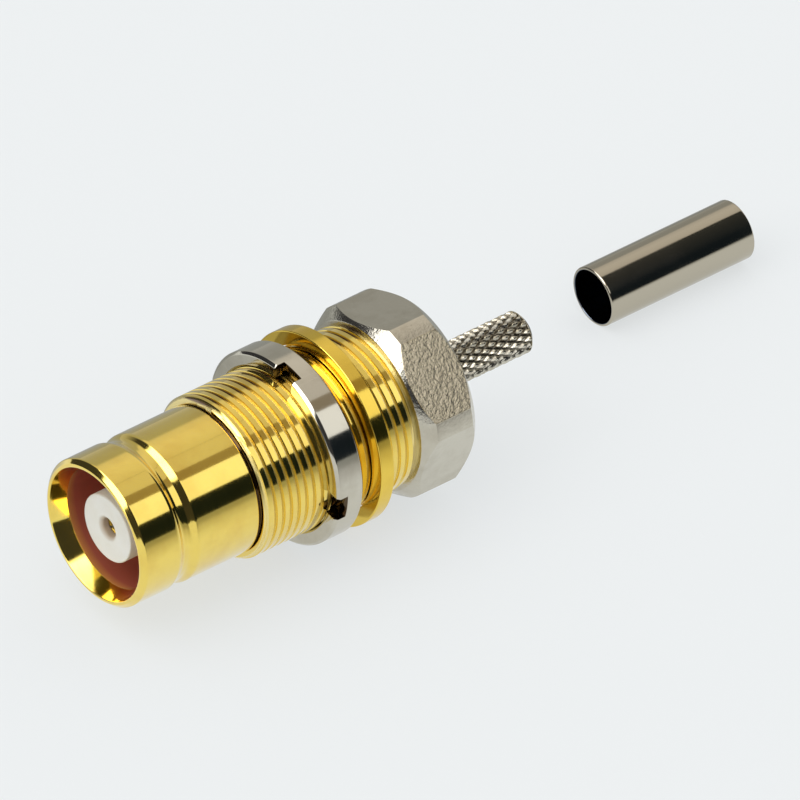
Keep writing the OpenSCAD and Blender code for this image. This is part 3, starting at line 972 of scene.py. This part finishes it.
def floor_material(settings):
    """Pale paper on a light table. The metal mirrors it bright near the jack and greyer farther off."""
    material, tree, shader, place = blank("floor_paper")
    ways = split(tree, "Split", (-900, -200), place)
    across = ranged(tree, "Across the floor", (-700, -200), ways["Y"], FLOOR_TONES[0][0], FLOOR_TONES[-1][0])
    tone = stepped(tree, "Tone across", (-500, -200), across, FLOOR_TONES)
    rays = node(tree, "ShaderNodeLightPath", "Rays", (-500, 200)).outputs
    beside = both(tree, "Mirrored beside the jack", (-300, 200), rays["Is Glossy Ray"],
                  ranged(tree, "Beside the jack", (-500, 0), ways["X"], -4.0, 6.0))
    fade = mixed(tree, "Mirrored tone", (-200, 0), beside, WHITE, tone)
    glow = settings.glow
    parts = ("Paper", 1.0 - glow, "Base Color", 100), ("Glow", glow, "Emission Color", -200)
    for label, part, socket, row in parts:
        tint = (*(c * part for c in settings.floor[:3]), 1.0)
        made = node(tree, "ShaderNodeMix", label, (100, row), {
            "Factor": 1.0, MIX_FIRST: fade, MIX_SECOND: tint}, data_type="RGBA", blend_type="MULTIPLY")
        tree.links.new(made.outputs[MIX_RESULT], shader.inputs[socket])
    shader.inputs["Emission Strength"].default_value = 1.0
    shader.inputs["Roughness"].default_value = 1.0
    shader.inputs["Specular IOR Level"].default_value = 0.0
    return material


def light_card(name, level, tint, first, last):
    """A lit card beside the jack, between two angles from the top, that only the metal mirrors."""
    panel = bpy.data.lights.new(name, "AREA")
    panel.shape = "RECTANGLE"
    panel.color = tint
    panel.size = CARD_LEN * MM
    panel.size_y = 2 * CARD_DISTANCE * MM * tan(radians(last - first) / 2)
    panel.energy = level * pi * panel.size * panel.size_y
    card = bpy.data.objects.new(name, panel)
    bpy.context.scene.collection.objects.link(card)
    along, out = Vector((1.0, 0.0, 0.0)), outward((first + last) / 2)
    turn = Matrix((along, out.cross(along), out)).transposed().to_4x4()
    card.matrix_world = Matrix.Translation(along * CARD_X * MM + out * CARD_DISTANCE * MM) @ turn
    card.visible_camera = card.visible_diffuse = False


class JACK_OT_stage(bpy.types.Operator):
    """Pale floor, soft studio light and the camera"""
    bl_idname = "jack.stage"
    bl_label = "Stage"

    def execute(self, context):
        scene, settings = context.scene, context.scene.stage_settings
        scene.view_settings.view_transform = "Standard"
        studio_world(settings)

        bm = bmesh.new()
        bmesh.ops.create_grid(bm, x_segments=1, y_segments=1, size=FLOOR_HALF)
        bmesh.ops.translate(bm, verts=bm.verts, vec=(FLOOR_X * MM, 0.0, CAD_BOX[0][2]))
        mesh = bpy.data.meshes.new("floor")
        bm.to_mesh(mesh)
        bm.free()
        floor = bpy.data.objects.new("floor", mesh)
        scene.collection.objects.link(floor)
        mesh.materials.append(floor_material(settings))

        light_card("light_box", settings.box_level, (1.0, 1.0, 1.0), 31.0, 61.0)
        light_card("grey_card", 0.66, (1.0, 0.93, 0.84), -5.0, 17.0)
        light_card("dim_card", 0.30, (1.0, 0.80, 0.55), 17.0, 31.0)

        away = Vector(AWAY).normalized()
        right = Vector(RIGHT).normalized()
        up = away.cross(right)
        camera = bpy.data.cameras.new("camera")
        camera.lens = settings.lens
        camera.sensor_width = SENSOR
        camera.clip_start, camera.clip_end = 0.01, 10.0
        eye = bpy.data.objects.new("camera", camera)
        scene.collection.objects.link(eye)
        target = right * AIM[0] * MM + up * AIM[1] * MM + away * AIM[2] * MM
        distance = settings.lens / SENSOR * VIEW_WIDTH * MM
        turn = Matrix((right, up, away)).transposed().to_4x4()
        eye.matrix_world = Matrix.Translation(target + away * distance) @ turn
        scene.camera = eye
        return {"FINISHED"}


class JACK_PT_build(bpy.types.Panel):
    """Lists the jack's pieces and sizes"""
    bl_idname = "JACK_PT_build"
    bl_label = "Coaxial Jack"
    bl_space_type = "VIEW_3D"
    bl_region_type = "UI"
    bl_category = "Coaxial Jack"

    def draw(self, context):
        layout, scene = self.layout, context.scene
        for operator in OPERATORS:
            layout.operator(operator.bl_idname)
        for settings in (scene.jack_sizes, scene.jack_finishes, scene.stage_settings):
            column = layout.column(align=True)
            for name in settings.__annotations__:
                column.prop(settings, name)


OPERATORS = (
    JACK_OT_stage, JACK_OT_shell, JACK_OT_rear_body, JACK_OT_insulators,
    JACK_OT_contact, JACK_OT_ring_nut, JACK_OT_washer, JACK_OT_ferrule,
)
CLASSES = (JackSizes, JackFinishes, StageSettings) + OPERATORS + (JACK_PT_build,)


def register():
    for made in CLASSES:
        bpy.utils.register_class(made)
    bpy.types.Scene.jack_sizes = PointerProperty(type=JackSizes)
    bpy.types.Scene.jack_finishes = PointerProperty(type=JackFinishes)
    bpy.types.Scene.stage_settings = PointerProperty(type=StageSettings)


def unregister():
    for name in ("jack_sizes", "jack_finishes", "stage_settings"):
        delattr(bpy.types.Scene, name)
    for made in reversed(CLASSES):
        bpy.utils.unregister_class(made)


def main():
    register()
    for operator in ("stage", "shell", "rear_body", "insulators", "contact", "ring_nut", "washer", "ferrule"):
        getattr(bpy.ops.jack, operator)()


if __name__ == "__main__":
    main()
